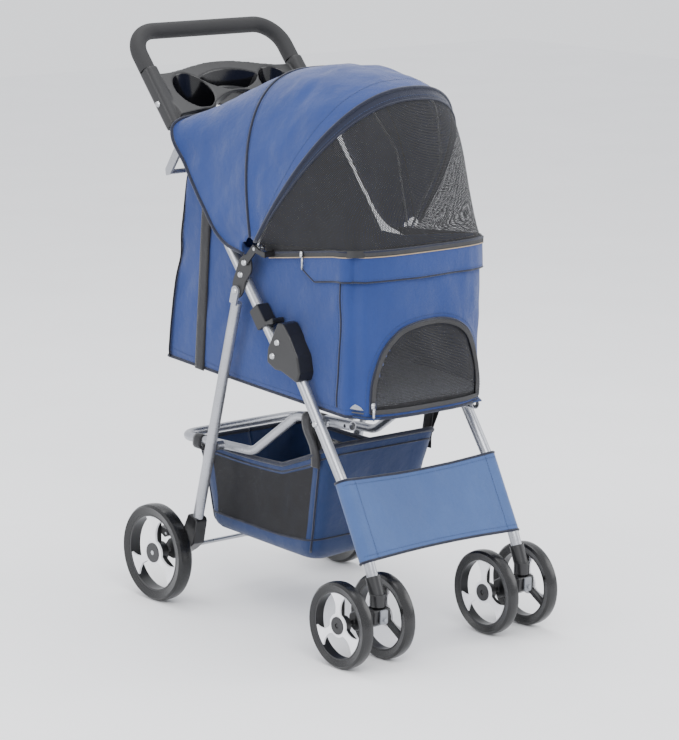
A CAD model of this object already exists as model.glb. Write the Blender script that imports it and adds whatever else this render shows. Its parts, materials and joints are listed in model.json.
import json
import math

import bmesh
import bpy
import numpy as np
from mathutils import Matrix, Vector, noise


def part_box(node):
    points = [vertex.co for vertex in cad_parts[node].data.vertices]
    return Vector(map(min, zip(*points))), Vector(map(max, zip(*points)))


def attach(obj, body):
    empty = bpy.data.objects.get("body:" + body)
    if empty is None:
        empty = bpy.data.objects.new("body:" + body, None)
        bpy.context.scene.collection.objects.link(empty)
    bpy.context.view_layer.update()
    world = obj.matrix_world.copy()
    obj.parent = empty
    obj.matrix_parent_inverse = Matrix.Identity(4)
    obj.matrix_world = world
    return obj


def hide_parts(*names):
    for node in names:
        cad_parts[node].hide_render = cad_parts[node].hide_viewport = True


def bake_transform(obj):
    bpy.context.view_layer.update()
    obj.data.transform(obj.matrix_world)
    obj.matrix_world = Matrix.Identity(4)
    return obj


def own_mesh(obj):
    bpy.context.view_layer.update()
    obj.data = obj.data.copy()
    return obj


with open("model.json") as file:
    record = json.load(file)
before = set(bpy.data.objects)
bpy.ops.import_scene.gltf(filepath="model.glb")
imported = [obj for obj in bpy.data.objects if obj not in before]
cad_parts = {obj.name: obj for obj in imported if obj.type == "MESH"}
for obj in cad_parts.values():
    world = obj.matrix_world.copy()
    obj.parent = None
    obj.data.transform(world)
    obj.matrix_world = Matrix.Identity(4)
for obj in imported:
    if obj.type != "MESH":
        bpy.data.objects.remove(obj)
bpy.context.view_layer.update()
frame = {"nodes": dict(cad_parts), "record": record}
nodes = frame["nodes"]
scene = bpy.context.scene

# ---------------------------------------------------------------- helpers


def P(x, y, z):
    """A point given in millimetres."""
    return Vector((x, y, z)) * 0.001


def lerp(a, b, t):
    return a + (b - a) * t


def through(points, x):
    """Piecewise linear value at x through (x, value) pairs in rising order of x."""
    xs = [p[0] for p in points]
    return float(np.interp(x, xs, [p[1] for p in points]))


def smooth_line(points, count, closed=False):
    """Evenly spaced points of a smooth curve through the given ones."""
    curve = bpy.data.curves.new("route", "CURVE")
    curve.dimensions = "3D"
    spline = curve.splines.new("BEZIER")
    spline.bezier_points.add(len(points) - 1)
    for bp, p in zip(spline.bezier_points, points):
        bp.co = p
        bp.handle_left_type = bp.handle_right_type = "AUTO"
    spline.use_cyclic_u = closed
    curve.resolution_u = 24
    holder = bpy.data.objects.new("route", curve)
    mesh = bpy.data.meshes.new_from_object(holder)
    raw = [v.co.copy() for v in mesh.vertices]
    bpy.data.objects.remove(holder)
    bpy.data.meshes.remove(mesh)
    if closed:
        raw.append(raw[0].copy())
    return spaced(raw, count)


def spaced(raw, count):
    """The polyline's points, spread evenly along it."""
    at = [0.0]
    for a, b in zip(raw, raw[1:]):
        at.append(at[-1] + (b - a).length)
    co = np.array(raw)
    where = np.linspace(0, at[-1], count)
    return [Vector([np.interp(w, at, co[:, k]) for k in range(3)]) for w in where]


def add_object(name, mesh, material, smooth=True):
    obj = bpy.data.objects.new(name, mesh)
    scene.collection.objects.link(obj)
    if material is not None:
        mesh.materials.append(material)
    if smooth:
        mesh.polygons.foreach_set("use_smooth", [True] * len(mesh.polygons))
    return obj


def grid(name, rows, material, keep=None, twist=False):
    """A sheet through rows of points, with UVs in metres. keep(row, column) leaves a cell out when false."""
    m, n = len(rows), len(rows[0])
    along = np.zeros((m, n))
    across = np.zeros((m, n))
    for i in range(m):
        for j in range(n):
            if j:
                along[i][j] = along[i][j - 1] + (rows[i][j] - rows[i][j - 1]).length
            if i:
                across[i][j] = across[i - 1][j] + (rows[i][j] - rows[i - 1][j]).length
    faces, cells = [], []
    for i in range(m - 1):
        for j in range(n - 1):
            if keep is None or keep(i, j):
                corners = [(i, j), (i, j + 1), (i + 1, j + 1), (i + 1, j)]
                if twist:
                    corners.reverse()
                faces.append([a * n + b for a, b in corners])
                cells.append(corners)
    mesh = bpy.data.meshes.new(name)
    mesh.from_pydata([p for row in rows for p in row], [], faces)
    uv = mesh.uv_layers.new(name="UVMap")
    for poly, corners in zip(mesh.polygons, cells):
        for loop, (a, b) in zip(poly.loop_indices, corners):
            uv.data[loop].uv = (along[a][b], across[a][b])
    bm = bmesh.new()
    bm.from_mesh(mesh)
    bmesh.ops.delete(bm, geom=[v for v in bm.verts if not v.link_faces], context="VERTS")
    bm.to_mesh(mesh)
    bm.free()
    return add_object(name, mesh, material)


def baked(obj):
    """Applies the object's modifiers."""
    bpy.context.view_layer.update()
    graph = bpy.context.evaluated_depsgraph_get()
    mesh = bpy.data.meshes.new_from_object(obj.evaluated_get(graph))
    obj.modifiers.clear()
    obj.data = mesh
    mesh.polygons.foreach_set("use_smooth", [True] * len(mesh.polygons))
    return obj


def thicken(obj, thickness, offset=0.0):
    """Gives a sheet its cloth's thickness, with rounded edges."""
    mod = obj.modifiers.new("cloth", "SOLIDIFY")
    mod.thickness = thickness
    mod.offset = offset
    return baked(obj)


def closed(obj, gap=1e-6):
    """Welds a mesh's meeting edges and fills its open ends."""
    bm = bmesh.new()
    bm.from_mesh(obj.data)
    bmesh.ops.remove_doubles(bm, verts=bm.verts, dist=gap)
    bmesh.ops.holes_fill(bm, edges=[e for e in bm.edges if e.is_boundary], sides=0)
    bmesh.ops.recalc_face_normals(bm, faces=bm.faces)
    bm.to_mesh(obj.data)
    bm.free()
    return obj


def tube_rows(line, radius, sides):
    """Rings of points round a line, turning as little as possible from ring to ring."""
    rings = []
    normal = None
    for i, p in enumerate(line):
        a = line[max(i - 1, 0)]
        b = line[min(i + 1, len(line) - 1)]
        t = (b - a).normalized()
        if normal is None:
            helper = Vector((0, 0, 1)) if abs(t.z) < 0.9 else Vector((0, 1, 0))
            normal = t.cross(helper).normalized()
        normal = (normal - t * normal.dot(t)).normalized()
        side = t.cross(normal)
        r = radius(i / (len(line) - 1)) if callable(radius) else radius
        rings.append([p + (normal * math.cos(k * math.tau / sides) + side * math.sin(k * math.tau / sides)) * r
                      for k in range(sides + 1)])
    return rings


def piping(name, line, radius, material, sides=8):
    """A round cord sewn into a seam, closed at its ends."""
    return closed(grid(name, tube_rows(line, radius, sides), material))


def tape(name, line, across, width, thickness, material, crown=0.3):
    """A flat band along a line. across(i) is the direction of its width, and its faces are a little crowned."""
    rows = []
    n = len(line)
    for i, p in enumerate(line):
        t = (line[min(i + 1, n - 1)] - line[max(i - 1, 0)]).normalized()
        side = across(i)
        side = (side - t * side.dot(t)).normalized()
        up = side.cross(t)
        ring = []
        for u, v in ((-1, -1), (-0.5, -1 - crown), (0, -1 - crown), (0.5, -1 - crown), (1, -1),
                     (1, 1), (0.5, 1 + crown), (0, 1 + crown), (-0.5, 1 + crown), (-1, 1), (-1, -1)):
            ring.append(p + side * (u * width / 2) + up * (v * thickness / 2))
        rows.append(ring)
    return closed(grid(name, rows, material))


def stitches(name, line, out, material, length=0.0032, pitch=0.0048, radius=0.0004):
    """A row of thread stitches along a line, lying on the cloth whose outward direction is out(i)."""
    total = sum((b - a).length for a, b in zip(line, line[1:]))
    count = max(2, int(total / pitch))
    at = spaced(line, count + 1)
    verts, faces = [], []
    for i in range(count):
        a, b = at[i], at[i + 1]
        t = (b - a).normalized()
        normal = out(i / count)
        normal = (normal - t * normal.dot(t)).normalized()
        side = t.cross(normal)
        mid = (a + b) / 2
        base = len(verts)
        for s, grow in ((-0.5, 0.5), (-0.25, 1), (0.25, 1), (0.5, 0.5)):
            c = mid + t * (s * length) + normal * radius * 0.6 * grow
            for k in range(4):
                w = k * math.pi / 2 + math.pi / 4
                verts.append(c + (side * math.cos(w) + normal * math.sin(w)) * radius * grow)
        for s in range(3):
            for k in range(4):
                faces.append([base + s * 4 + k, base + s * 4 + (k + 1) % 4, base + s * 4 + 4 + (k + 1) % 4,
                              base + s * 4 + 4 + k])
        faces.append([base + 3, base + 2, base + 1, base])
        faces.append([base + 12, base + 13, base + 14, base + 15])
    mesh = bpy.data.meshes.new(name)
    mesh.from_pydata(verts, [], faces)
    return add_object(name, mesh, material)


def crumple(p, size, amount, seed):
    """A smooth pseudo-random offset for cloth at p."""
    q = p / size + Vector((seed, seed * 1.7, -seed))
    return noise.noise(q) * amount


# ---------------------------------------------------------------- materials


class Nodes:
    """A material's node tree, with short calls for the nodes used here."""

    def __init__(self, name):
        self.material = bpy.data.materials.new(name)
        self.material.use_nodes = True
        self.tree = self.material.node_tree
        self.shader = self.tree.nodes["Principled BSDF"]

    def add(self, kind, **settings):
        node = self.tree.nodes.new(kind)
        for key, value in settings.items():
            if key in node.inputs:
                node.inputs[key].default_value = value
            else:
                setattr(node, key, value)
        return node

    def link(self, a, b):
        self.tree.links.new(a, b)

    def noise(self, source, scale, detail=3.0, roughness=0.55):
        node = self.add("ShaderNodeTexNoise", Scale=scale, Detail=detail, Roughness=roughness)
        self.link(source, node.inputs["Vector"])
        return node.outputs["Fac"]

    def wave(self, source, direction, scale, distortion=0.0):
        node = self.add("ShaderNodeTexWave", bands_direction=direction, Scale=scale, Distortion=distortion)
        node.inputs["Detail"].default_value = 1.0
        node.inputs["Detail Scale"].default_value = 1.5
        self.link(source, node.inputs["Vector"])
        return node.outputs["Fac"]

    def math(self, operation, a, b):
        node = self.add("ShaderNodeMath", operation=operation)
        for socket, value in zip(node.inputs, (a, b)):
            if isinstance(value, (int, float)):
                socket.default_value = value
            else:
                self.link(value, socket)
        return node.outputs[0]

    def ramp(self, factor, stops):
        node = self.add("ShaderNodeValToRGB")
        elements = node.color_ramp.elements
        while len(elements) < len(stops):
            elements.new(0.5)
        for element, (at, colour) in zip(elements, stops):
            element.position = at
            element.color = (*colour, 1) if len(colour) == 3 else colour
        self.link(factor, node.inputs["Fac"])
        return node.outputs["Color"]

    def bump(self, height, strength, distance, before=None):
        node = self.add("ShaderNodeBump", Strength=strength, Distance=distance)
        self.link(height, node.inputs["Height"])
        if before is not None:
            self.link(before, node.inputs["Normal"])
        return node.outputs["Normal"]


def shade(colour, k):
    return tuple(min(1.0, c * k) for c in colour)


def canvas(name, colour, pitch=0.0011, sheen=0.25, rough=0.78, vary=0.16, uv=True):
    """Woven polyester: crossing threads, faint slubs and slow changes of tone."""
    n = Nodes(name)
    coords = n.add("ShaderNodeTexCoord").outputs["UV" if uv else "Object"]
    place = n.add("ShaderNodeTexCoord").outputs["Object"]
    scale = math.tau / (20 * pitch)
    warp = n.wave(coords, "X", scale, 0.4)
    weft = n.wave(coords, "Y", scale, 0.4)
    weave = n.math("MULTIPLY", warp, weft)
    slow = n.noise(place, 9.0, 4.0)
    fine = n.noise(place, 420.0, 2.0)
    tone = n.math("ADD", n.math("MULTIPLY", slow, 0.62), n.math("MULTIPLY", fine, 0.38))
    tone = n.math("ADD", tone, n.math("MULTIPLY", weave, 0.18))
    n.link(n.ramp(tone, ((0.28, shade(colour, 1 - vary)), (0.55, colour), (0.82, shade(colour, 1 + vary)))),
           n.shader.inputs["Base Color"])
    rough_out = n.math("ADD", n.math("MULTIPLY", fine, 0.14), rough - 0.07)
    n.link(rough_out, n.shader.inputs["Roughness"])
    folds = n.bump(n.noise(place, 22.0, 4.0), 0.55, 0.006)
    n.link(n.bump(weave, 0.5, 0.0004, folds), n.shader.inputs["Normal"])
    n.shader.inputs["Sheen Weight"].default_value = sheen
    n.shader.inputs["Sheen Roughness"].default_value = 0.45
    n.shader.inputs["Specular IOR Level"].default_value = 0.3
    return n.material


def net(name, colour, pitch=0.0026, opening=0.30):
    """Knitted mesh: small holes in staggered rows."""
    n = Nodes(name)
    coords = n.add("ShaderNodeTexCoord").outputs["UV"]
    place = n.add("ShaderNodeTexCoord").outputs["Object"]
    cell = n.add("ShaderNodeTexVoronoi", Scale=1 / pitch, Randomness=0.12)
    n.link(coords, cell.inputs["Vector"])
    hole = n.math("LESS_THAN", cell.outputs["Distance"], opening)
    alpha = n.math("SUBTRACT", 1.0, n.math("MULTIPLY", hole, 0.92))
    n.link(alpha, n.shader.inputs["Alpha"])
    tone = n.noise(place, 60.0, 3.0)
    n.link(n.ramp(tone, ((0.3, shade(colour, 0.75)), (0.7, shade(colour, 1.35)))), n.shader.inputs["Base Color"])
    n.link(n.bump(cell.outputs["Distance"], 0.6, 0.0006), n.shader.inputs["Normal"])
    n.shader.inputs["Roughness"].default_value = 0.7
    return n.material


def plastic(name, colour, rough=0.45, grain=900.0, depth=0.00012, wear=0.25):
    """Moulded plastic: a fine grain, faint flow marks and lighter worn edges."""
    n = Nodes(name)
    place = n.add("ShaderNodeTexCoord").outputs["Object"]
    slow = n.noise(place, 14.0, 3.0)
    fine = n.noise(place, grain, 2.0)
    edge = n.add("ShaderNodeNewGeometry").outputs["Pointiness"]
    worn = n.math("MULTIPLY", n.math("SUBTRACT", edge, 0.5), 4.0 * wear)
    tone = n.math("ADD", slow, worn)
    n.link(n.ramp(tone, ((0.25, shade(colour, 0.82)), (0.6, shade(colour, 1.1)), (0.95, shade(colour, 1.6)))),
           n.shader.inputs["Base Color"])
    n.link(n.math("ADD", n.math("MULTIPLY", fine, 0.16), rough - 0.08), n.shader.inputs["Roughness"])
    n.link(n.bump(fine, 0.35, depth), n.shader.inputs["Normal"])
    return n.material


def metal(name, colour, rough=0.32, metallic=0.85, streak=240.0):
    """Painted or plated metal with faint drawn streaks and small scuffs."""
    n = Nodes(name)
    place = n.add("ShaderNodeTexCoord").outputs["Object"]
    slow = n.noise(place, 20.0, 4.0)
    fine = n.noise(place, streak, 4.0, 0.7)
    tone = n.math("ADD", n.math("MULTIPLY", slow, 0.6), n.math("MULTIPLY", fine, 0.4))
    n.link(n.ramp(tone, ((0.3, shade(colour, 0.86)), (0.6, colour), (0.8, shade(colour, 1.1)))),
           n.shader.inputs["Base Color"])
    n.link(n.math("ADD", n.math("MULTIPLY", fine, 0.22), rough - 0.11), n.shader.inputs["Roughness"])
    n.link(n.bump(fine, 0.12, 0.0002), n.shader.inputs["Normal"])
    n.shader.inputs["Metallic"].default_value = metallic
    return n.material


def zip_tape(name, colour):
    """Zip tape with its row of coil teeth down the middle of the band's surface."""
    n = Nodes(name)
    coords = n.add("ShaderNodeTexCoord").outputs["UV"]
    place = n.add("ShaderNodeTexCoord").outputs["Object"]
    teeth = n.wave(coords, "Y", math.tau / (20 * 0.0022))
    tone = n.math("ADD", n.math("MULTIPLY", teeth, 0.5), n.math("MULTIPLY", n.noise(place, 300.0), 0.5))
    n.link(n.ramp(tone, ((0.25, shade(colour, 0.6)), (0.8, shade(colour, 1.8)))), n.shader.inputs["Base Color"])
    n.link(n.bump(teeth, 0.7, 0.0006), n.shader.inputs["Normal"])
    n.shader.inputs["Roughness"].default_value = 0.6
    return n.material


def fleece_cloth(name, colour):
    n = Nodes(name)
    place = n.add("ShaderNodeTexCoord").outputs["Object"]
    curl = n.add("ShaderNodeTexVoronoi", Scale=260.0)
    n.link(place, curl.inputs["Vector"])
    soft = n.math("MULTIPLY", n.noise(place, 30.0), 0.5)
    tone = n.math("ADD", n.math("MULTIPLY", curl.outputs["Distance"], 0.6), soft)
    n.link(n.ramp(tone, ((0.2, shade(colour, 0.8)), (0.7, shade(colour, 1.2)))), n.shader.inputs["Base Color"])
    n.link(n.bump(curl.outputs["Distance"], 0.8, 0.0015), n.shader.inputs["Normal"])
    n.shader.inputs["Roughness"].default_value = 0.95
    n.shader.inputs["Sheen Weight"].default_value = 0.4
    return n.material


BLUE, LIGHT_BLUE, NAVY = (0.014, 0.038, 0.161), (0.050, 0.096, 0.240), (0.011, 0.028, 0.095)
blue = canvas("blue_canvas_cloth", BLUE)
light_blue = canvas("light_canvas_cloth", LIGHT_BLUE)
navy = canvas("navy_canvas_cloth", NAVY)
binding = canvas("dark_binding_cloth", (0.007, 0.010, 0.026), pitch=0.0009, rough=0.7)
webbing = canvas("black_webbing_cloth", (0.008, 0.008, 0.010), pitch=0.0021, rough=0.62)
mesh_net = net("black_net", (0.006, 0.006, 0.008))
zipper = zip_tape("zip_tape", (0.016, 0.016, 0.018))
thread = canvas("thread", (0.030, 0.050, 0.120), uv=False, sheen=0.1)
tan = canvas("tan_edge", (0.33, 0.25, 0.16), uv=False)
fleece = fleece_cloth("grey_fleece", (0.30, 0.32, 0.37))
silver = metal("silver_tube_paint", (0.40, 0.41, 0.44), rough=0.30, metallic=0.75)
steel = metal("zinc_steel", (0.55, 0.56, 0.58), rough=0.30, metallic=0.95)
black_plastic = plastic("black_moulding", (0.009, 0.009, 0.010), rough=0.34)
grey_plastic = plastic("grey_moulding", (0.19, 0.20, 0.22), rough=0.45)
tray_plastic = plastic("tray_moulding", (0.007, 0.007, 0.008), rough=0.46, grain=700.0)
well_plastic = plastic("gloss_black_moulding", (0.004, 0.004, 0.005), rough=0.14, depth=0.00003)
foam = plastic("grip_foam", (0.010, 0.010, 0.011), rough=0.72, grain=1400.0, depth=0.0003)
spoke_white = plastic("pale_spokes", (0.84, 0.84, 0.87), rough=0.42, depth=0.00003, wear=0.05)
tyre = plastic("tyre_foam", (0.006, 0.006, 0.0065), rough=0.26, depth=0.00006)
board = plastic("board_plastic", (0.05, 0.05, 0.055), rough=0.6)

finish_of_slot = {
    "silver_tube": silver, "steel": steel, "black_plastic": black_plastic, "grey_plastic": grey_plastic,
    "tray_plastic": tray_plastic, "grip_foam": foam, "spoke_white": spoke_white, "tyre_black": tyre, "board": board,
    "blue_canvas": blue, "light_canvas": light_blue, "navy_canvas": navy, "black_mesh": mesh_net, "fleece": fleece,
}
for part in frame["record"]["subparts"]:
    node = nodes[part["node"]]
    for i in range(len(node.material_slots)):
        node.material_slots[i].material = finish_of_slot[part["material_slot"]]

# ---------------------------------------------------------------- how pieces follow the frame

cloth = 0.0016


def on_cabin(obj):
    """A cloth piece of the cabin, which collapses towards its rim as the frame folds."""
    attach(obj, "handle_frame")
    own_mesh(obj)
    return obj


def on_basket(obj):
    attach(obj, "lower_frame")
    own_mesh(obj)
    return obj


def on_body(obj, body):
    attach(obj, body)
    return obj


def on_hood(obj):
    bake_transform(obj)
    return obj


# ---------------------------------------------------------------- the cabin's walls

cabin_low, cabin_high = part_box("cabin_tub")
half = cabin_high.x * 1000
front_low_y, rear_low_y = cabin_low.y * 1000, cabin_high.y * 1000
bow, corner_power = 36.0, 3.9
rear_corner, front_corner = 9.0, 16.0
top_edge = ((-278, 690), (-200, 684), (-22, 657), (44, 657), (148, 774), (206, 776))
bottom_edge = ((-278, 403), (-8, 415), (268, 428))


def plan_line(z):
    """The plan of the walls at height z, from the rear's middle round by -X to the rear's middle again."""
    front = lerp(front_low_y, -272, (z - 402) / 274)
    rear = through(((428, rear_low_y), (777, 207), (860, 202)), z)
    wide = half * through(((402, 0.985), (440, 1.0), (776, 1.0), (858, 1.17)), z)
    pts = [(0, rear), (-wide * 0.5, rear), (-wide + rear_corner, rear)]
    pts += [(-wide + rear_corner - rear_corner * math.sin(a), rear - rear_corner + rear_corner * math.cos(a))
            for a in (0.4, 0.8, 1.2, math.pi / 2)]
    pts += [(-wide, lerp(rear - rear_corner, front + bow + front_corner, k / 6)) for k in range(1, 7)]
    start = front + bow + front_corner
    pts += [(-wide + front_corner - front_corner * math.cos(a), start - 0.7 * front_corner * math.sin(a))
            for a in (0.5, 1.0, 1.4)]
    for x in (-0.86, -0.72, -0.55, -0.36, -0.18):
        pts.append((wide * x, front + bow * abs(x) ** corner_power))
    pts.append((0, front))
    return pts + [(-x, y) for x, y in reversed(pts[:-1])]


def evenly(pts, count):
    """The plan's points, spread evenly along it."""
    at = [0.0]
    for a, b in zip(pts, pts[1:]):
        at.append(at[-1] + math.hypot(b[0] - a[0], b[1] - a[1]))
    where = np.linspace(0, at[-1], count)
    xs, ys = zip(*pts)
    return [(float(np.interp(w, at, xs)), float(np.interp(w, at, ys))) for w in where]


WALL_COLUMNS, WALL_ROWS = 261, 61
level_step = 6.5
levels = [402 + k * level_step for k in range(72)]
plans = [evenly(plan_line(z), WALL_COLUMNS) for z in levels]


def on_plan(column, z):
    """A point of the walls' plan at a column and a height."""
    k = min(max((z - levels[0]) / level_step, 0), len(levels) - 1.001)
    i, f = int(k), k - int(k)
    a, b = plans[i][column], plans[i + 1][column]
    return lerp(a[0], b[0], f), lerp(a[1], b[1], f)


def wall_span(column):
    """The bottom and top height of the walls at a column."""
    x, y = on_plan(column, 600)
    low = through(bottom_edge, y)
    high = through(top_edge, y)
    back = min(column, WALL_COLUMNS - 1 - column) / (WALL_COLUMNS - 1)
    flap = min(max((0.128 - back) / 0.02, 0), 1)
    return low, lerp(high, 838 + 22 * max(0.0, 1 - (x / 150) ** 2), flap)


def wall_point(column, t, out=0.0):
    """A point of the cabin's cloth wall: t from 0 at the bottom to 1 at the top, out is a distance off the cloth."""
    low, high = wall_span(column)
    z = lerp(low, high, t)
    x, y = on_plan(column, z)
    x2, y2 = on_plan(min(column + 1, WALL_COLUMNS - 1), z)
    x1, y1 = on_plan(max(column - 1, 0), z)
    d = Vector((x2 - x1, y2 - y1, 0)).normalized()
    outward = Vector((-d.y, d.x, 0))
    if outward.dot(Vector((x, y + 5, 0))) < 0:
        outward = -outward
    belly = math.sin(math.pi * min(max(t, 0), 1))
    sag = -2.2 * belly * belly
    folds = crumple(Vector((x + 0.5 * z, y + 0.5 * z, z * 0.45)), 46.0, 4.6, 3.1) * belly
    folds += crumple(Vector((x, y, z * 0.4)), 24.0, 1.0, 8.0) * belly
    hem = 3.5 * (1 - min(t / 0.05, 1)) ** 2
    return P(x, y, z) + outward * 0.001 * (sag + folds + out - hem)


def wall_out(column):
    a = wall_point(column, 0.5, 0)
    return (wall_point(column, 0.5, 10) - a).normalized()


def column_at(test):
    """The column whose plan point is nearest to the given one, at half height."""
    return min(range(WALL_COLUMNS), key=lambda c: math.dist(on_plan(c, 560), test))


def wall_t(column, z):
    low, high = wall_span(column)
    return (z - low) / (high - low)


door_low, door_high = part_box("door_mesh")
door_half, door_foot, door_top = door_high.x * 1000 - 5, door_low.z * 1000 - 10, door_high.z * 1000 + 6
door_power = 2.6


def in_door(x, z):
    """Whether a place on the front wall is inside the door's arch."""
    u = abs(x) / door_half
    v = (z - door_foot) / (door_top - door_foot)
    return v > 0 and u < 1 and u ** door_power + v ** door_power < 1


def wall_cell(row, column):
    x, y = on_plan(column, 500)
    low, high = wall_span(column)
    z = lerp(low, high, (row + 0.5) / (WALL_ROWS - 1))
    return not (y < -150 and in_door(x, z))


rows = [[wall_point(c, r / (WALL_ROWS - 1)) for c in range(WALL_COLUMNS)] for r in range(WALL_ROWS)]
tub = grid("cabin_wall", rows, blue, keep=wall_cell, twist=True)
thicken(tub, cloth)
on_cabin(tub)
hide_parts("cabin_tub")

# the floor of the cabin, a sheet with its sewn hem
rows = []
for v in range(25):
    k = v / 24
    line = []
    for u in range(25):
        s = u / 24
        y = lerp(front_low_y + 8, rear_low_y - 8, k)
        x = lerp(-half + 8, half - 8, s)
        if y < -236:
            x *= 1 - 0.12 * ((-236 - y) / 34)
        dip = 5.0 * math.sin(math.pi * s) * math.sin(math.pi * k)
        line.append(P(x, y, through(bottom_edge, y) + 2.0 - dip + crumple(Vector((x, y, 0)), 60, 1.5, 5)))
    rows.append(line)
base = grid("cabin_base", rows, navy)
thicken(base, 0.0022)
on_cabin(base)


trim = []
foot_line = [wall_point(c, 0.004, 2.0) for c in range(WALL_COLUMNS)]
trim.append(piping("cabin_foot_piping", foot_line, 0.0028, binding))
stitch_line = [wall_point(c, 0.045, 1.0) for c in range(WALL_COLUMNS)]
trim.append(stitches("cabin_foot_stitches", stitch_line, lambda f: wall_out(int(f * (WALL_COLUMNS - 1))), thread))


def door_line(grow, count):
    """The door's arch on the front wall, grown by grow, from one foot to the other."""
    pts = []
    for k in range(count):
        a = math.pi * (1 - k / (count - 1))
        c, s = math.cos(a), math.sin(a)
        x = math.copysign(abs(c) ** (2 / door_power), c) * (door_half + grow)
        z = door_foot + (door_top - door_foot + grow) * abs(s) ** (2 / door_power)
        pts.append((x, z))
    return pts


def front_point(x, z, out=0.0):
    """The front wall's point at x and z."""
    xs = [on_plan(c, z)[0] for c in range(int(WALL_COLUMNS * 0.36), int(WALL_COLUMNS * 0.64))]
    k = float(np.interp(x, xs, range(len(xs))))
    c = int(WALL_COLUMNS * 0.36) + int(k)
    f = k - int(k)
    a = wall_point(c, wall_t(c, z), out)
    b = wall_point(c + 1, wall_t(c + 1, z), out)
    return a.lerp(b, f)


# the door's net, a little slack in its arch
rows = []
for r in range(33):
    k = r / 32
    z = lerp(door_foot - 2, door_top + 1, k)
    v = min(max((z - door_foot) / (door_top - door_foot + 2), 0), 1)
    wide = max((door_half + 2) * max(1 - v ** door_power, 0.0) ** (1 / door_power), 2.0)
    line = []
    for c in range(41):
        slack = -1.5 + 3.0 * math.sin(math.pi * c / 40) * math.sin(math.pi * k)
        line.append(front_point(lerp(-wide, wide, c / 40), z, slack))
    rows.append(line)
door = grid("door_net", rows, mesh_net)
seam = 0.01
on_cabin(door)
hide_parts("door_mesh")

door_middle = P(0, -270, 440)
zip_route = spaced([front_point(x, z, 2.6) for x, z in door_line(1.0, 121)], 181)
trim.append(tape("door_zip", zip_route, lambda i: zip_route[i] - door_middle, 0.0085, 0.0011, zipper))
line = spaced([front_point(x, z, 2.6) for x, z in door_line(6.0, 121)], 181)
trim.append(piping("door_piping", line, 0.0018, binding))
line = spaced([front_point(x, door_foot + 1, 2.6) for x in np.linspace(-door_half - 6, door_half + 6, 60)], 61)
trim.append(tape("door_foot_zip", line, lambda i: Vector((0, 0, 1)), 0.008, 0.0011, zipper))
line = spaced([front_point(x, z, 1.2) for x, z in door_line(13.5, 121)], 181)
trim.append(stitches("door_stitches", line, lambda f: Vector((0, -1, 0)), thread))

# seams, side webbing and the rear corners' zips
for side in (-1, 1):
    seam_column = column_at((side * half, -214))
    seam = [wall_point(seam_column, k / 40, 0.8) for k in range(2, 36)]
    trim.append(piping(f"front_seam_{side + 1}", seam, 0.0019, binding))
    for shift in (-1, 1):
        row = [wall_point(seam_column + shift, k / 40, 0.9) for k in range(2, 36)]
        trim.append(stitches(f"front_seam_stitches_{side + 1}_{shift + 1}", row,
                             lambda f, s=side: Vector((s, 0, 0)), thread))
    corner = column_at((side * (half - 3), 238))
    zip_line = [wall_point(corner, wall_t(corner, lerp(430, 775, k / 49)), 1.8) for k in range(50)]
    trim.append(tape(f"rear_zip_{side + 1}", zip_line, lambda i, s=side: Vector((s * 0.7, -0.7, 0)),
                     0.016, 0.0012, zipper))
    strap = []
    for k in range(60):
        z = lerp(420, 722, k / 59)
        y = lerp(166, 146, k / 59)
        strap.append(Vector((side * (half + 2.2) * 0.001, y * 0.001, z * 0.001)))
    trim.append(tape(f"side_webbing_{side + 1}", strap, lambda i: Vector((0, 1, 0)), 0.025, 0.0016, webbing))
    for off in (-0.0098, 0.0098):
        row = [p + Vector((side * 0.0011, off, 0)) for p in strap]
        trim.append(stitches(f"webbing_stitches_{side + 1}_{int(off * 1e4)}", row,
                             lambda f, s=side: Vector((s, 0, 0)), webbing))

for t in trim:
    on_cabin(t)

# ---------------------------------------------------------------- the rim: flap, zip and piping round the cabin's front

front_columns = [c for c in range(WALL_COLUMNS) if on_plan(c, 660)[1] <= -30]
flap_columns = [c for c in front_columns if on_plan(c, 660)[1] <= -120]
rows = []
for k in range(13):
    f = k / 12
    line = []
    for c in flap_columns:
        low, high = wall_span(c)
        edge = min((c - flap_columns[0]) / 6, (flap_columns[-1] - c) / 6, 1)
        z = lerp(high - 4, high - 52 * (0.55 + 0.45 * edge), f)
        line.append(wall_point(c, wall_t(c, z), 4.2 + 1.4 * f + 2.0 * math.sin(c * 0.31) * f * f))
    rows.append(line)
flap = grid("rim_flap", rows, blue)
thicken(flap, cloth)
on_cabin(flap)
rim = []
rim.append(piping("flap_hem", spaced(rows[-1], 160), 0.0018, binding))
hem = [p + Vector((p.x, p.y + 0.02, 0)).normalized() * 0.0008 for p in rows[-2]]
rim.append(stitches("flap_stitches", spaced(hem, 160), lambda f: Vector((0, -1, 0)), thread))
zip_line = spaced([wall_point(c, 0.985, 6.4) for c in front_columns], 200)
rim.append(tape("rim_zip", zip_line, lambda i: Vector((0, 0, 1)), 0.010, 0.0012, zipper))
edge_line = [p + Vector((0, 0, -0.0062)) for p in zip_line]
rim.append(piping("rim_tan_line", edge_line, 0.0010, tan))
for t in rim:
    on_cabin(t)


def pull(name, at, drop, material):
    """A zip's slider with its small hanging tag."""
    bm = bmesh.new()
    for size, place in (((0.0075, 0.0035, 0.011), Vector((0, 0, 0))), ((0.0050, 0.0014, 0.022), drop)):
        made = bmesh.ops.create_cube(bm, size=1.0)
        bmesh.ops.scale(bm, vec=size, verts=made["verts"])
        bmesh.ops.translate(bm, vec=at + place, verts=made["verts"])
    bmesh.ops.bevel(bm, geom=list(bm.edges), offset=0.0009, segments=3, affect="EDGES")
    mesh = bpy.data.meshes.new(name)
    bm.to_mesh(mesh)
    bm.free()
    return add_object(name, mesh, material)


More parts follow.
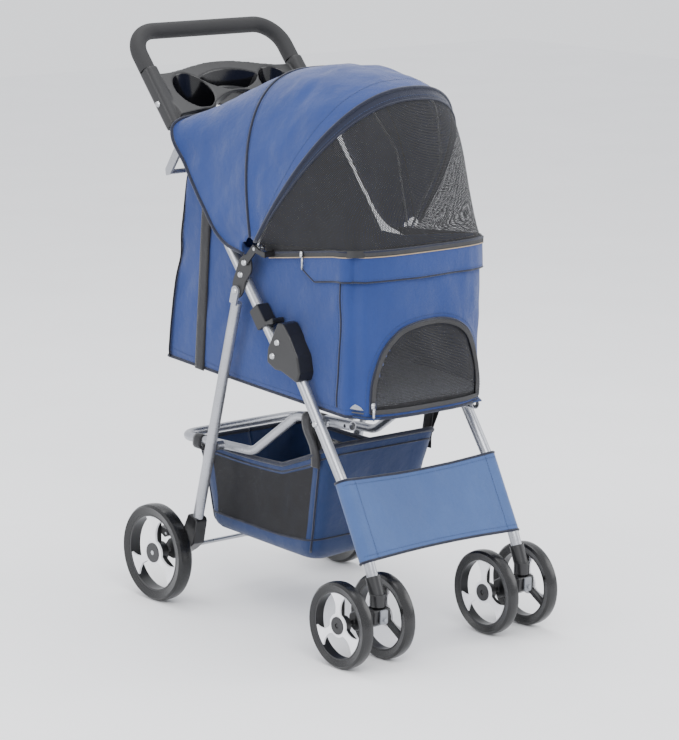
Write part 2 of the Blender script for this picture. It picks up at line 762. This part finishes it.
pulls = [
    pull("rim_zip_pull", zip_line[24] + Vector((-0.004, -0.004, 0)), Vector((0, -0.002, -0.015)), steel),
    pull("rim_zip_pull_far", zip_line[-25] + Vector((0.004, -0.004, 0)), Vector((0, -0.002, -0.015)), steel),
    pull("door_zip_pull", front_point(-door_half - 2, door_foot + 12, 5), Vector((0, -0.002, -0.014)), steel),
]
for t in pulls:
    on_cabin(t)

# ---------------------------------------------------------------- the hood and its window

pivot_y, pivot_z = -22.0, 664.0
rear_angle, mid_angle, front_angle, rim_angle = 36, 79, 124, 171.5
# the hood's arches: angle about the pivots, half width, height and how square the arch is
hood_shape = ((44, 184, 299, 5.6), (60, 184, 298, 3.2), (mid_angle, 184, 296, 2.7), (102, 184, 314, 2.5),
              (front_angle, 184, 338, 2.4), (150, 172, 294, 2.5), (rim_angle, 160, 252, 3.0))
ARCH = 97


def section(angle):
    """Evenly spaced points of the hood's arch at an angle about its pivots."""
    wide = through([(s[0], s[1]) for s in hood_shape], angle)
    high = through([(s[0], s[2]) for s in hood_shape], angle)
    power = through([(s[0], s[3]) for s in hood_shape], angle)
    a = math.radians(angle)
    raw = []
    for k in range(121):
        b = math.pi * (1 - k / 120)
        x = math.copysign(abs(math.cos(b)) ** (2 / power), math.cos(b)) * wide
        h = abs(math.sin(b)) ** (2 / power) * high
        if h >= 10:
            raw.append(P(x, pivot_y + h * math.cos(a), pivot_z + h * math.sin(a)))
    return spaced(raw, ARCH)


def outwards(p):
    return (p - P(0, pivot_y, pivot_z - 40)).normalized()


def hood_point(p, angle, f):
    """Sags the cloth between its ribs and draws it into folds that run from rib to rib."""
    bays = ((rear_angle, mid_angle), (mid_angle, front_angle))
    sag = 0.0
    for low, high in bays:
        if low < angle < high:
            sag = math.sin(math.pi * (angle - low) / (high - low))
    side = abs(2 * f - 1)
    reach = math.sin(math.pi * f) ** 0.5
    depth = sag ** 0.8 * (4.5 + 3.0 * side) * reach
    folds = crumple(p * 1000, 44.0, 4.6, 2.0) * sag + crumple(p * 1000, 19.0, 1.5, 5.0) * sag
    folds += math.sin(f * 57 + 1.3 * math.sin(angle * 0.11)) * 0.7 * sag * side
    return p - outwards(p) * 0.001 * (depth + folds)


half_edge = ((181, 4, 652), (183, 60, 668), (183.5, 115, 722), (183, 165, 785), (182, 206, 842), (172, 209, 853),
             (120, 208, 863), (60, 207, 873))
rear_edge = [P(-x, y, z) for x, y, z in half_edge] + [P(0, 206, 877)] + [P(*p) for p in reversed(half_edge)]
rear_edge = smooth_line(rear_edge, ARCH)


def hood_row(angle):
    """A row of the hood's cloth: behind the mid hoop it runs out to the edge along the handle tube."""
    arch = section(max(angle, hood_shape[0][0]))
    w = min(max((mid_angle - angle) / (mid_angle - rear_angle), 0), 1)
    w = w * w * (3 - 2 * w)
    row = []
    for k, (p, q) in enumerate(zip(arch, rear_edge)):
        row.append(hood_point(p.lerp(q, w), angle, k / (ARCH - 1)))
    return row


rows = [hood_row(angle) for angle in np.linspace(rear_angle, front_angle, 67)]
hood = grid("hood_cloth", rows, blue)
thicken(hood, cloth)
on_hood(hood)
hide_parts("canopy_hood")


def arch_out(f, y):
    """Roughly outwards from an arch of the hood at f, 0 at one foot and 1 at the other."""
    return Vector((math.sin((f - 0.5) * 2.4), y, math.cos((f - 0.5) * 2.4)))


hood_trim = []
for name, angle, radius in (("hood_rear_binding", rear_angle, 0.0030), ("hood_mid_piping", mid_angle, 0.0026)):
    line = [p + outwards(p) * 0.0012 for p in hood_row(angle)]
    hood_trim.append(piping(name, line, radius, binding))
for name, angle in (("hood_mid_stitches_a", 80.6), ("hood_mid_stitches_b", 77.4), ("hood_rear_stitches", 38.2),
                    ("hood_front_stitches", 118.0)):
    line = [p + outwards(p) * 0.0012 for p in hood_row(angle)]
    hood_trim.append(stitches(name, line[4:-4], lambda f: arch_out(f, 0), thread))
for t in hood_trim:
    on_hood(t)

# the window: a dark border band along the front hoop, then net down to the rim
rim_line = spaced([wall_point(c, 0.995, 5.0) for c in front_columns], ARCH)
if rim_line[0].x > 0:
    rim_line.reverse()


def window_row(f):
    """A row of the window's sheet, f from 0 at the front hoop to 1 at the rim."""
    arch = section(lerp(front_angle, rim_angle, f))
    w = min(max((f - 0.35) / 0.65, 0), 1)
    w = w * w * (3 - 2 * w)
    out = []
    for k, (a, b) in enumerate(zip(arch, rim_line)):
        p = a.lerp(b, w)
        slack = math.sin(math.pi * f) * math.sin(math.pi * k / (ARCH - 1))
        out.append(p - outwards(p) * 0.004 * slack)
    return out


rows = [window_row(f) for f in np.linspace(0.0, 0.075, 7)]
band = grid("window_band", rows, binding)
thicken(band, cloth)
on_body(band, "canopy_front_hoop")
rows = [window_row(f) for f in np.linspace(0.072, 1.0, 49)]
window = grid("window_net", rows, mesh_net)
on_body(window, "canopy_front_hoop")
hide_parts("window_mesh")
window_trim = [
    piping("hood_front_piping", [p + outwards(p) * 0.001 for p in window_row(0.0)], 0.0032, binding),
    piping("window_inner_piping", [p + outwards(p) * 0.001 for p in window_row(0.075)], 0.0018, binding),
    piping("window_foot_piping", [p + outwards(p) * 0.001 for p in window_row(0.985)], 0.0022, binding),
]
for t in window_trim:
    on_body(t, "canopy_front_hoop")
line = [p + outwards(p) * 0.0012 for p in window_row(0.05)]
row = stitches("window_stitches", line[3:-3], lambda f: arch_out(f, -0.6), thread)
on_body(row, "canopy_front_hoop")

# ---------------------------------------------------------------- the floor pad, a stuffed mat with sewn channels

pad_low, pad_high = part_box("floor_pad")
pad_level = ((-278, 415), (-8, 425), (268, 437))
rows = []
PU, PV = 41, 65
for top in (1, 0):
    for v in range(PV):
        k = v / (PV - 1) if top else 1 - v / (PV - 1)
        line = []
        for u in range(PU):
            s = u / (PU - 1)
            y = lerp(pad_low.y, pad_high.y, k) * 1000
            wide = pad_high.x * 1000 * (1 - 0.10 * max(0, (-228 - y) / 30) ** 2)
            x = lerp(-wide, wide, s)
            edge = min(s, 1 - s, k, 1 - k) * 2
            swell = min(edge / 0.16, 1) ** 0.5
            channel = 1 - 0.35 * math.exp(-((math.fmod(k * 5, 1.0) - 0.5) / 0.07) ** 2)
            foot = through(pad_level, y)
            lift = 17 * swell * channel if top else 0.5 - 3 * swell
            x *= 1 + 0.015 * swell - 0.02 * abs(2 * k - 1) ** 2 * swell
            line.append(P(x, y, foot + 4 + lift + crumple(Vector((x, y, 0)), 40, 1.2, 4) * top))
        rows.append(line)
pad = closed(grid("fleece_pad", rows, fleece), 0.0002)
on_cabin(pad)
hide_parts("floor_pad")

# the stiff board under the pad
board_low, board_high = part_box("floor_board")
board_level = ((-278, 413), (-8, 423), (268, 434))
rows = []
for v in range(21):
    k = v / 20
    y = lerp(board_low.y, board_high.y, k) * 1000
    wide = board_high.x * 1000 - 3 - (14 * ((-236 - y) / 20) ** 2 if y < -236 else 0)
    rows.append([P(lerp(-wide, wide, u / 20), y, through(board_level, y)) for u in range(21)])
floor_plate = grid("floor_stiffener", rows, board)
thicken(floor_plate, 0.0022)
on_cabin(floor_plate)
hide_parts("floor_board")

# ---------------------------------------------------------------- the basket

b_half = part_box("basket")[1].x * 1000
b_top = ((-160, 338), (-112, 316), (-36, 291), (150, 286), (219, 280))
b_floor = ((-101, 119), (182, 125))


def basket_plan(v, count):
    """The basket's plan at v, 0 at its mouth and 1 at its floor."""
    front, rear = lerp(-160, -101, v), lerp(216, 182, v)
    wide = b_half - 10 * v * v - 5 * math.sin(math.pi * v)
    r = 26.0
    pts = [(0, rear), (-wide + r, rear)]
    pts += [(-wide + r - r * math.sin(a), rear - r + r * math.cos(a)) for a in (0.4, 0.8, 1.2, math.pi / 2)]
    pts += [(-wide, lerp(rear - r, front + r, k / 6)) for k in range(1, 7)]
    pts += [(-wide + r - r * math.cos(a), front + r - r * math.sin(a)) for a in (0.4, 0.8, 1.2, math.pi / 2)]
    pts.append((0, front))
    pts += [(-x, y) for x, y in reversed(pts[:-1])]
    return evenly(pts, count)


B_COLUMNS, B_ROWS = 161, 37
b_plans = [basket_plan(r / (B_ROWS - 1), B_COLUMNS) for r in range(B_ROWS)]
b_mouth = b_plans[0]


def basket_point(row, column, out=0.0):
    v = row / (B_ROWS - 1)
    x, y = b_plans[row][column]
    mx, my = b_mouth[column]
    high = through(b_top, my)
    side_dip = math.sin(math.pi * min(max((my + 160) / 376, 0), 1)) if abs(mx) > b_half - 8 else 0.0
    high -= 9.0 * side_dip
    low = through(b_floor, y)
    z = lerp(high, low, v)
    belly = math.sin(math.pi * v)
    shift = crumple(Vector((x, y, z)), 48.0, 5.0, 6.0) * belly
    shift += crumple(Vector((x, y, z * 0.5)), 20.0, 1.8, 9.0) * belly
    turn = 24.0 * (1 - math.sqrt(max(1 - max((v - 0.86) / 0.14, 0) ** 2, 0)))
    d = Vector((x, (y - 30) * 0.5, 0)).normalized()
    return P(x, y, z) + d * 0.001 * (shift * 0.6 - turn + out - 2.5 * belly)


rows = [[basket_point(r, c) for c in range(B_COLUMNS)] for r in range(B_ROWS)]
inner = rows[-1]
centre = sum(inner, Vector()) / len(inner)
for k in range(1, 15):
    f = k / 14
    ring = []
    for p in inner:
        q = p.lerp(centre, f)
        q.z = lerp(p.z, centre.z, f) - 0.001 * (1.5 - 3.0 * math.sin(math.pi * min(f, 0.98) * 0.5) ** 2) \
            - crumple(q * 1000, 50, 0.002, 1) * math.sin(math.pi * f)
        ring.append(q)
    rows.append(ring)

basket = grid("basket_cloth", rows, navy, twist=True)
basket.data.materials.append(mesh_net)
columns = B_COLUMNS - 1
for poly in basket.data.polygons:
    r, c = divmod(poly.index, columns)
    if r < B_ROWS - 1:
        x, y = b_mouth[c]
        if abs(x) > b_half - 4 and -118 < y < 176 and 3 < r < B_ROWS - 8:
            poly.material_index = 1
thicken(basket, 0.0014)
on_basket(basket)
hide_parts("basket")
basket_trim = []
mouth = [basket_point(0, c, 0.5) for c in range(B_COLUMNS)]
basket_trim.append(piping("basket_mouth_binding", mouth, 0.0042, binding, 10))
for name, row in (("basket_upper_band", 3), ("basket_lower_band", B_ROWS - 8)):
    basket_trim.append(piping(name, [basket_point(row, c, 1.2) for c in range(B_COLUMNS)], 0.0017, binding))
hem = [basket_point(1, c, 1.4) for c in range(B_COLUMNS)]
basket_trim.append(stitches("basket_stitches", hem, lambda f: Vector((0, 0, 1)), thread))
for corner in ((-b_half + 4, -140), (b_half - 4, -140), (-b_half + 2, 200), (b_half - 2, 200)):
    c = min(range(B_COLUMNS), key=lambda k: math.dist(b_mouth[k], corner))
    line = [basket_point(r, c, 1.4) for r in range(0, B_ROWS - 3)]
    basket_trim.append(piping(f"basket_seam_{c}", line, 0.0019, binding))
for t in basket_trim:
    on_basket(t)

straps = []
for side in (-1, 1):
    x = side * 139.0
    for name, y, z, hang in (("front", -128.0, 384.0, 322.0), ("rear", 176.0, 289.0, 268.0)):
        ring = []
        for k in range(15):
            a = math.pi * (0.02 + 0.96 * k / 14)
            ring.append(P(x + side * 9.6 * math.cos(a), y, z + 9.6 * math.sin(a)))
        up = [P(side * (b_half + 2.5), y, hang - 26), P(side * (b_half + 4), y, hang), P(x + side * 8.5, y, z - 12)]
        down = [P(x - side * 8.5, y, z - 12), P(side * (b_half + 1.0), y, hang + 2)]
        route = smooth_line(up + ring + down, 70)
        straps.append(tape(f"basket_strap_{name}_{side + 1}", route, lambda i: Vector((0, 1, 0)),
                           0.022, 0.0016, webbing))
for t in straps:
    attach(t, "lower_frame")

# ---------------------------------------------------------------- the foot panel, stretched between the front legs

panel_top, panel_foot = (-244.0, 300.0), (-311.0, 176.0)
slope = Vector((0, panel_foot[0] - panel_top[0], panel_foot[1] - panel_top[1])).normalized()
panel_out = Vector((0, slope.z, -slope.y))
if panel_out.y > 0:
    panel_out = -panel_out
leg_x, sleeve = 163.0, 12.4
section_points = []
for k in range(0, 13):
    a = math.radians(lerp(-60, 90, k / 12))
    section_points.append((-leg_x - sleeve * math.cos(a), sleeve * math.sin(a)))
for k in range(1, 40):
    s = k / 40
    section_points.append((lerp(-leg_x, leg_x, s), sleeve - 5.0 * math.sin(math.pi * s) ** 0.8))
for k in range(0, 13):
    a = math.radians(lerp(90, -60, k / 12))
    section_points.append((leg_x + sleeve * math.cos(a), sleeve * math.sin(a)))
rows = []
length = math.hypot(panel_foot[0] - panel_top[0], panel_foot[1] - panel_top[1])
for k in range(33):
    f = k / 32
    line = []
    for x, n in section_points:
        s = (x + leg_x) / (2 * leg_x)
        dip = 5.0 * math.sin(math.pi * min(max(s, 0), 1))
        along_it = lerp(dip, length - dip, f)
        p = P(x, panel_top[0], panel_top[1]) + slope * 0.001 * along_it
        fold = crumple(p * 1000, 46.0, 2.6, 12.0) * math.sin(math.pi * min(max(s, 0), 1))
        line.append(p + panel_out * 0.001 * (n + fold))
    rows.append(line)
panel = grid("foot_panel_cloth", rows, light_blue)
thicken(panel, 0.0015)
on_body(panel, "front_frame")
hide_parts("foot_panel")
panel_trim = []
for name, row in (("top", rows[0]), ("foot", rows[-1])):
    panel_trim.append(piping(f"foot_panel_{name}_binding", spaced(row, 120), 0.0024, binding))
for name, row in (("top", rows[2]), ("foot", rows[-3])):
    line = [p + panel_out * 0.0012 for p in row]
    panel_trim.append(stitches(f"foot_panel_{name}_stitches", spaced(line, 120), lambda f: panel_out, thread))
for side in (-1, 1):
    faces_out = [j for j, (x, n) in enumerate(section_points) if n > 0]
    j = min(faces_out, key=lambda q: abs(section_points[q][0] - side * 147))
    line = [r[j] + panel_out * 0.0012 for r in rows]
    panel_trim.append(stitches(f"foot_panel_sleeve_stitches_{side + 1}", line, lambda f: panel_out, thread))
for t in panel_trim:
    on_body(t, "front_frame")

# ---------------------------------------------------------------- moulded pieces, with their edges softened


def moulding(name, node, voxel, body, rounds=4):
    """A copy of a CAD moulding with rounded edges, which stands for it."""
    source = nodes[node]
    obj = bpy.data.objects.new(name, source.data.copy())
    scene.collection.objects.link(obj)
    remesh = obj.modifiers.new("skin", "REMESH")
    remesh.mode = "VOXEL"
    remesh.voxel_size = voxel
    soften = obj.modifiers.new("soften", "SMOOTH")
    soften.factor = 0.5
    soften.iterations = rounds
    material = source.material_slots[0].material
    baked(obj)
    obj.data.materials.clear()
    obj.data.materials.append(material)
    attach(obj, body)
    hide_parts(node)
    return obj


tray = moulding("tray_moulding", "parent_tray", 0.0016, "handle_frame", 5)
tray.data.materials.append(well_plastic)
deck_slope = math.radians(35)
deck_point = Vector((0, 0.25708, 0.90096))
deck_up = Vector((0, -math.sin(deck_slope), math.cos(deck_slope)))
deck_back = Vector((0, math.cos(deck_slope), math.sin(deck_slope)))
cup_x, cup_y, cup_reach = 0.096, 0.25808, 0.0386
for poly in tray.data.polygons:
    c = poly.center
    below = (deck_point - c).dot(deck_up)
    u, v = c.x * 1000, (c - deck_point).dot(deck_back) * 1000
    in_cup = math.hypot(abs(c.x) - cup_x, c.y - cup_y) < cup_reach and c.z > 0.8470
    in_dish = 0.5 + 36 * (u / 66) ** 2 < v < 57.5 - 18 * (u / 66) ** 2 and abs(u) < 67
    if below > 0.0012 and (in_cup or in_dish and c.z > 0.872):
        poly.material_index = 1
for side in ("right", "left"):
    moulding(f"knuckle_moulding_{side}", f"knuckle_housing_{side}", 0.0011, "front_frame", 3)
    moulding(f"caster_moulding_{side}", f"caster_body_{side}", 0.0010, f"caster_{side}", 3)

# ---------------------------------------------------------------- floor, light and camera

bpy.ops.mesh.primitive_plane_add(size=14, location=(0, 0, 0))
ground = bpy.context.object
ground.name = "studio_floor"
pale = Nodes("pale_floor")
where = pale.add("ShaderNodeTexCoord").outputs["Object"]
tone = pale.ramp(pale.noise(where, 3.0), ((0.3, (0.93, 0.93, 0.94)), (0.7, (0.96, 0.96, 0.97))))
pale.link(tone, pale.shader.inputs["Base Color"])
pale.shader.inputs["Roughness"].default_value = 0.85
ground.data.materials.append(pale.material)

world = bpy.data.worlds.new("studio")
scene.world = world
world.use_nodes = True
world.node_tree.nodes["Background"].inputs["Color"].default_value = (0.95, 0.965, 1.0, 1)
world.node_tree.nodes["Background"].inputs["Strength"].default_value = 1.4


def softbox(name, place, size, power, aim=(0, 0, 0.5)):
    light = bpy.data.lights.new(name, "AREA")
    light.shape = "RECTANGLE"
    light.size, light.size_y = size
    light.energy = power
    obj = bpy.data.objects.new(name, light)
    scene.collection.objects.link(obj)
    obj.location = place
    obj.rotation_euler = (Vector(aim) - Vector(place)).to_track_quat("-Z", "Y").to_euler()
    return obj


softbox("key", (-1.6, -3.0, 3.0), (2.4, 2.0), 95)
softbox("fill", (2.8, -1.8, 1.8), (2.2, 2.2), 40)
softbox("top", (0.2, 0.6, 3.4), (2.6, 2.6), 60)
softbox("side", (-3.2, 0.8, 1.6), (1.8, 1.8), 40)

camera = bpy.data.cameras.new("view")
camera.sensor_fit = "VERTICAL"
camera.sensor_height = 36.0
camera.lens = 148.957
camera.clip_end = 60
eye = bpy.data.objects.new("view", camera)
scene.collection.objects.link(eye)
azimuth, elevation, roll = math.radians(-39.96), math.radians(12.10), math.radians(0.76)
eye.location = (-3.3476, -4.0329, 1.5520)
level = math.cos(elevation)
forward = Vector((-math.sin(azimuth) * level, math.cos(azimuth) * level, -math.sin(elevation)))
turn = forward.to_track_quat("-Z", "Y").to_matrix()
eye.rotation_euler = (turn @ Matrix.Rotation(roll, 3, "Z")).to_euler()
scene.camera = eye
